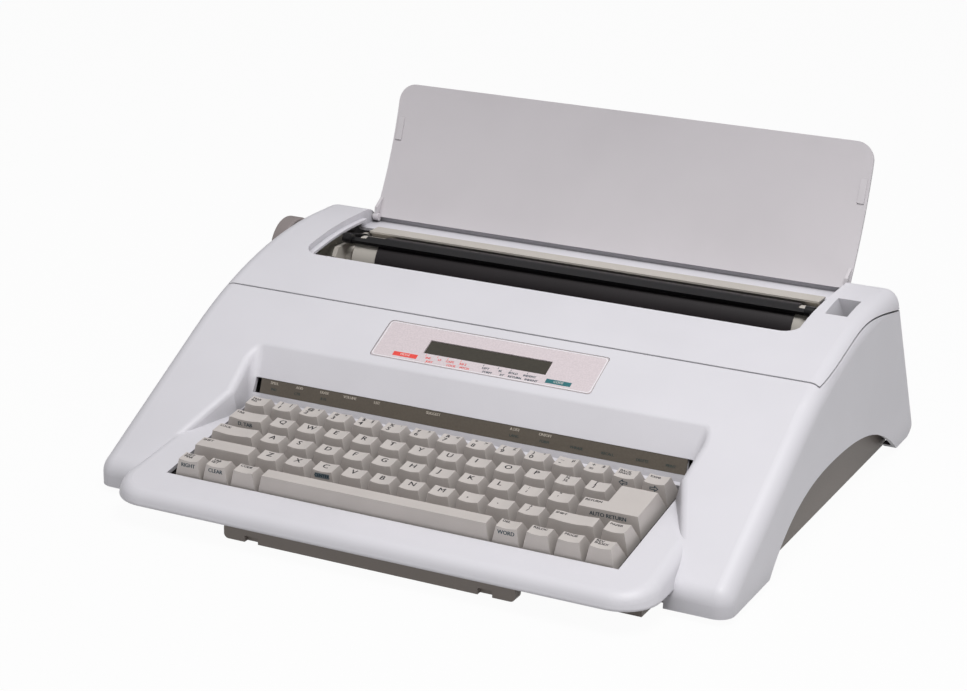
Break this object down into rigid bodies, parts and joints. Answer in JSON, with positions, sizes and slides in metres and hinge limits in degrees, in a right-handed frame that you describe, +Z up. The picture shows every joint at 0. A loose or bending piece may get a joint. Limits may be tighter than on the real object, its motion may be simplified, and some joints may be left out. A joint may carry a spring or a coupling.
{
  "type": "electronic typewriter",
  "caption": "Compact electronic typewriter: sloped keyboard well, small display, platen with side knob, raised paper lid and a print carriage under a hinged cover.",
  "frame": {"origin": "on the desk, under the middle of the body width", "axes": "+X to the right along the platen, +Y to the back, +Z up"},
  "size_m": [0.4255, 0.3749, 0.1968],
  "materials": {
    "shell": "fine moulded texture, cool white",
    "lid": "fine moulded texture, light grey",
    "base": "moulded, taupe grey",
    "knob": "moulded, warm grey",
    "key": "smooth moulded, warm light grey",
    "strip": "printed film, dark taupe",
    "panel": "printed film, pale pink grey",
    "display": "dark olive display face",
    "platen_rubber": "ground rubber, brown black",
    "rubber": "moulded rubber",
    "silicone": "translucent pale rubber",
    "bail": "moulded, black",
    "black_plastic": "smooth black",
    "gear": "natural acetal",
    "steel": "ground and plated",
    "frame": "plated sheet",
    "motor": "drawn can",
    "board": "green laminate",
    "winding": "varnished",
    "red": "smooth red"
  },
  "bodies": {
    "chassis": {"base_tray": "base", "upper_housing": "shell", "rubber_feet": "rubber", "case_screws": "steel", "cover_hinge_pins": "steel", "display_panel": "panel", "lcd_module": "display", "function_strip": "strip", "key_plate": "black_plastic", "contact_membrane": "silicone", "keyboard_board": "board", "main_board": "board", "transformer": "winding", "power_switch": "black_plastic", "cord_gland": "rubber", "side_frames": "gear", "cross_plate": "frame", "guide_rails": "steel", "paper_pan": "gear", "carriage_belt": "rubber", "carriage_motor": "motor", "line_feed_motor": "motor"},
    "cover": {"top_cover": "shell"},
    "lid": {"paper_lid": "lid"},
    "platen": {"platen_shaft": "steel", "platen_core": "lid", "platen_roller": "platen_rubber", "platen_gear": "gear", "platen_knob": "knob"},
    "idler_gear": {"line_feed_idler": "gear"},
    "pinion": {"line_feed_pinion": "gear"},
    "feed_carrier": {"feed_roller_carrier": "frame"},
    "feed_roll": {"feed_rollers": "rubber"},
    "bail": {"paper_bail": "bail"},
    "lever": {"release_lever": "gear"},
    "print_carriage": {"carriage": "black_plastic", "type_wheel_motor": "motor", "ribbon_cassette": "black_plastic"},
    "wheel": {"type_wheel": "lid"},
    "striker": {"hammer": "steel"},
    "drive_pulley": {"belt_drive_pulley": "gear"},
    "tail_pulley": {"belt_idler_pulley": "gear"},
    "rocker": {"switch_rocker": "red"},
    "handle": {"carry_handle": "base"},
    "margin_key_cap": {"margin_key": "key"},
    "number_key_row": {"number_keys": "key"},
    "backspace_key_cap": {"backspace_key": "key"},
    "express_key_cap": {"express_key": "key"},
    "tab_key_cap": {"tab_key": "key"},
    "upper_letter_key_row": {"upper_letter_keys": "key"},
    "return_key_cap": {"return_key": "key"},
    "lock_key_cap": {"lock_key": "key"},
    "home_letter_key_row": {"home_letter_keys": "key"},
    "left_shift_key_cap": {"left_shift_key": "key"},
    "lower_letter_key_row": {"lower_letter_keys": "key"},
    "right_shift_key_cap": {"right_shift_key": "key"},
    "paper_key_cap": {"paper_key": "key"},
    "left_code_key_row": {"left_code_keys": "key"},
    "space_bar_cap": {"space_bar": "key"},
    "right_code_key_row": {"right_code_keys": "key"}
  },
  "joints": [
    {"name": "cover_hinge", "type": "hinge", "parent": "chassis", "child": "cover", "pos_m": [0, 0.1502, 0.0994], "axis": [1, 0, 0], "range_deg": [-45, 0]},
    {"name": "lid_hinge", "type": "hinge", "parent": "cover", "child": "lid", "pos_m": [0, 0.1375, 0.11], "axis": [1, 0, 0], "range_deg": [0, 115.6]},
    {"name": "platen_turn", "type": "hinge", "parent": "chassis", "child": "platen", "pos_m": [0, 0.097, 0.092], "axis": [1, 0, 0], "continuous": true},
    {"name": "idler_turn", "type": "hinge", "parent": "chassis", "child": "idler_gear", "pos_m": [-0.188, 0.11535, 0.05645], "axis": [1, 0, 0], "continuous": true},
    {"name": "pinion_turn", "type": "hinge", "parent": "chassis", "child": "pinion", "pos_m": [-0.188, 0.138, 0.04], "axis": [1, 0, 0], "continuous": true},
    {"name": "release_turn", "type": "hinge", "parent": "chassis", "child": "lever", "pos_m": [0.1842, 0.08, 0.066], "axis": [1, 0, 0], "range_deg": [0, 12], "stiffness_Nm_per_rad": 0.4, "springref_deg": -2.86},
    {"name": "feed_carrier_turn", "type": "hinge", "parent": "chassis", "child": "feed_carrier", "pos_m": [0, 0.121, 0.064], "axis": [1, 0, 0], "range_deg": [0, 4], "stiffness_Nm_per_rad": 3, "springref_deg": -1.72},
    {"name": "feed_roll_turn", "type": "hinge", "parent": "feed_carrier", "child": "feed_roll", "pos_m": [0, 0.10447, 0.07147], "axis": [1, 0, 0], "continuous": true},
    {"name": "bail_lift", "type": "hinge", "parent": "chassis", "child": "bail", "pos_m": [0, 0.114, 0.097], "axis": [1, 0, 0], "range_deg": [-35, 0]},
    {"name": "carriage_travel", "type": "slide", "parent": "chassis", "child": "print_carriage", "axis": [1, 0, 0], "range_m": [-0.115, 0.115]},
    {"name": "drive_pulley_turn", "type": "hinge", "parent": "chassis", "child": "drive_pulley", "pos_m": [-0.15, 0.0122, 0.038], "axis": [0, 1, 0], "range_deg": [-765, 765]},
    {"name": "tail_pulley_turn", "type": "hinge", "parent": "chassis", "child": "tail_pulley", "pos_m": [0.163, 0.0122, 0.038], "axis": [0, 1, 0], "range_deg": [-765, 765]},
    {"name": "wheel_turn", "type": "hinge", "parent": "print_carriage", "child": "wheel", "pos_m": [0.007, 0.0746, 0.063], "axis": [0, 1, 0], "continuous": true},
    {"name": "hammer_strike", "type": "slide", "parent": "print_carriage", "child": "striker", "axis": [0, 1, 0], "range_m": [0, 0.0034], "stiffness_N_per_m": 300, "springref_m": -0.001},
    {"name": "switch_throw", "type": "hinge", "parent": "chassis", "child": "rocker", "pos_m": [-0.202, -0.02, 0.062], "axis": [0, 1, 0], "range_deg": [0, 16]},
    {"name": "handle_pull", "type": "slide", "parent": "chassis", "child": "handle", "axis": [0, -1, 0], "range_m": [0, 0.045]},
    {"name": "margin_key_press", "type": "slide", "parent": "chassis", "child": "margin_key_cap", "axis": [0, 0.1498, -0.9887], "range_m": [0, 0.0035], "stiffness_N_per_m": 170, "springref_m": -0.002},
    {"name": "number_keys_press", "type": "slide", "parent": "chassis", "child": "number_key_row", "axis": [0, 0.1498, -0.9887], "range_m": [0, 0.0035], "stiffness_N_per_m": 2040, "springref_m": -0.002},
    {"name": "backspace_key_press", "type": "slide", "parent": "chassis", "child": "backspace_key_cap", "axis": [0, 0.1498, -0.9887], "range_m": [0, 0.0035], "stiffness_N_per_m": 170, "springref_m": -0.002},
    {"name": "express_key_press", "type": "slide", "parent": "chassis", "child": "express_key_cap", "axis": [0, 0.1498, -0.9887], "range_m": [0, 0.0035], "stiffness_N_per_m": 170, "springref_m": -0.002},
    {"name": "tab_key_press", "type": "slide", "parent": "chassis", "child": "tab_key_cap", "axis": [0, 0.1498, -0.9887], "range_m": [0, 0.0035], "stiffness_N_per_m": 340, "springref_m": -0.002},
    {"name": "upper_letter_keys_press", "type": "slide", "parent": "chassis", "child": "upper_letter_key_row", "axis": [0, 0.1498, -0.9887], "range_m": [0, 0.0035], "stiffness_N_per_m": 2040, "springref_m": -0.002},
    {"name": "return_key_press", "type": "slide", "parent": "chassis", "child": "return_key_cap", "axis": [0, 0.1498, -0.9887], "range_m": [0, 0.0035], "stiffness_N_per_m": 680, "springref_m": -0.002},
    {"name": "lock_key_press", "type": "slide", "parent": "chassis", "child": "lock_key_cap", "axis": [0, 0.1498, -0.9887], "range_m": [0, 0.0035], "stiffness_N_per_m": 340, "springref_m": -0.002},
    {"name": "home_letter_keys_press", "type": "slide", "parent": "chassis", "child": "home_letter_key_row", "axis": [0, 0.1498, -0.9887], "range_m": [0, 0.0035], "stiffness_N_per_m": 1870, "springref_m": -0.002},
    {"name": "left_shift_key_press", "type": "slide", "parent": "chassis", "child": "left_shift_key_cap", "axis": [0, 0.1498, -0.9887], "range_m": [0, 0.0035], "stiffness_N_per_m": 340, "springref_m": -0.002},
    {"name": "lower_letter_keys_press", "type": "slide", "parent": "chassis", "child": "lower_letter_key_row", "axis": [0, 0.1498, -0.9887], "range_m": [0, 0.0035], "stiffness_N_per_m": 1700, "springref_m": -0.002},
    {"name": "right_shift_key_press", "type": "slide", "parent": "chassis", "child": "right_shift_key_cap", "axis": [0, 0.1498, -0.9887], "range_m": [0, 0.0035], "stiffness_N_per_m": 340, "springref_m": -0.002},
    {"name": "paper_key_press", "type": "slide", "parent": "chassis", "child": "paper_key_cap", "axis": [0, 0.1498, -0.9887], "range_m": [0, 0.0035], "stiffness_N_per_m": 170, "springref_m": -0.002},
    {"name": "left_code_keys_press", "type": "slide", "parent": "chassis", "child": "left_code_key_row", "axis": [0, 0.1498, -0.9887], "range_m": [0, 0.0035], "stiffness_N_per_m": 510, "springref_m": -0.002},
    {"name": "space_bar_press", "type": "slide", "parent": "chassis", "child": "space_bar_cap", "axis": [0, 0.1498, -0.9887], "range_m": [0, 0.0035], "stiffness_N_per_m": 1020, "springref_m": -0.002},
    {"name": "right_code_keys_press", "type": "slide", "parent": "chassis", "child": "right_code_key_row", "axis": [0, 0.1498, -0.9887], "range_m": [0, 0.0035], "stiffness_N_per_m": 680, "springref_m": -0.002}
  ],
  "couplings": [
    {"joint": "idler_turn", "follows": "platen_turn", "ratio": -0.81818},
    {"joint": "pinion_turn", "follows": "platen_turn", "ratio": 3},
    {"joint": "feed_roll_turn", "follows": "platen_turn", "ratio": -3.3},
    {"joint": "feed_carrier_turn", "follows": "release_turn", "ratio": 0.33},
    {"joint": "drive_pulley_turn", "follows": "carriage_travel", "rad_per_m": 114.94},
    {"joint": "tail_pulley_turn", "follows": "carriage_travel", "rad_per_m": 114.94}
  ]
}
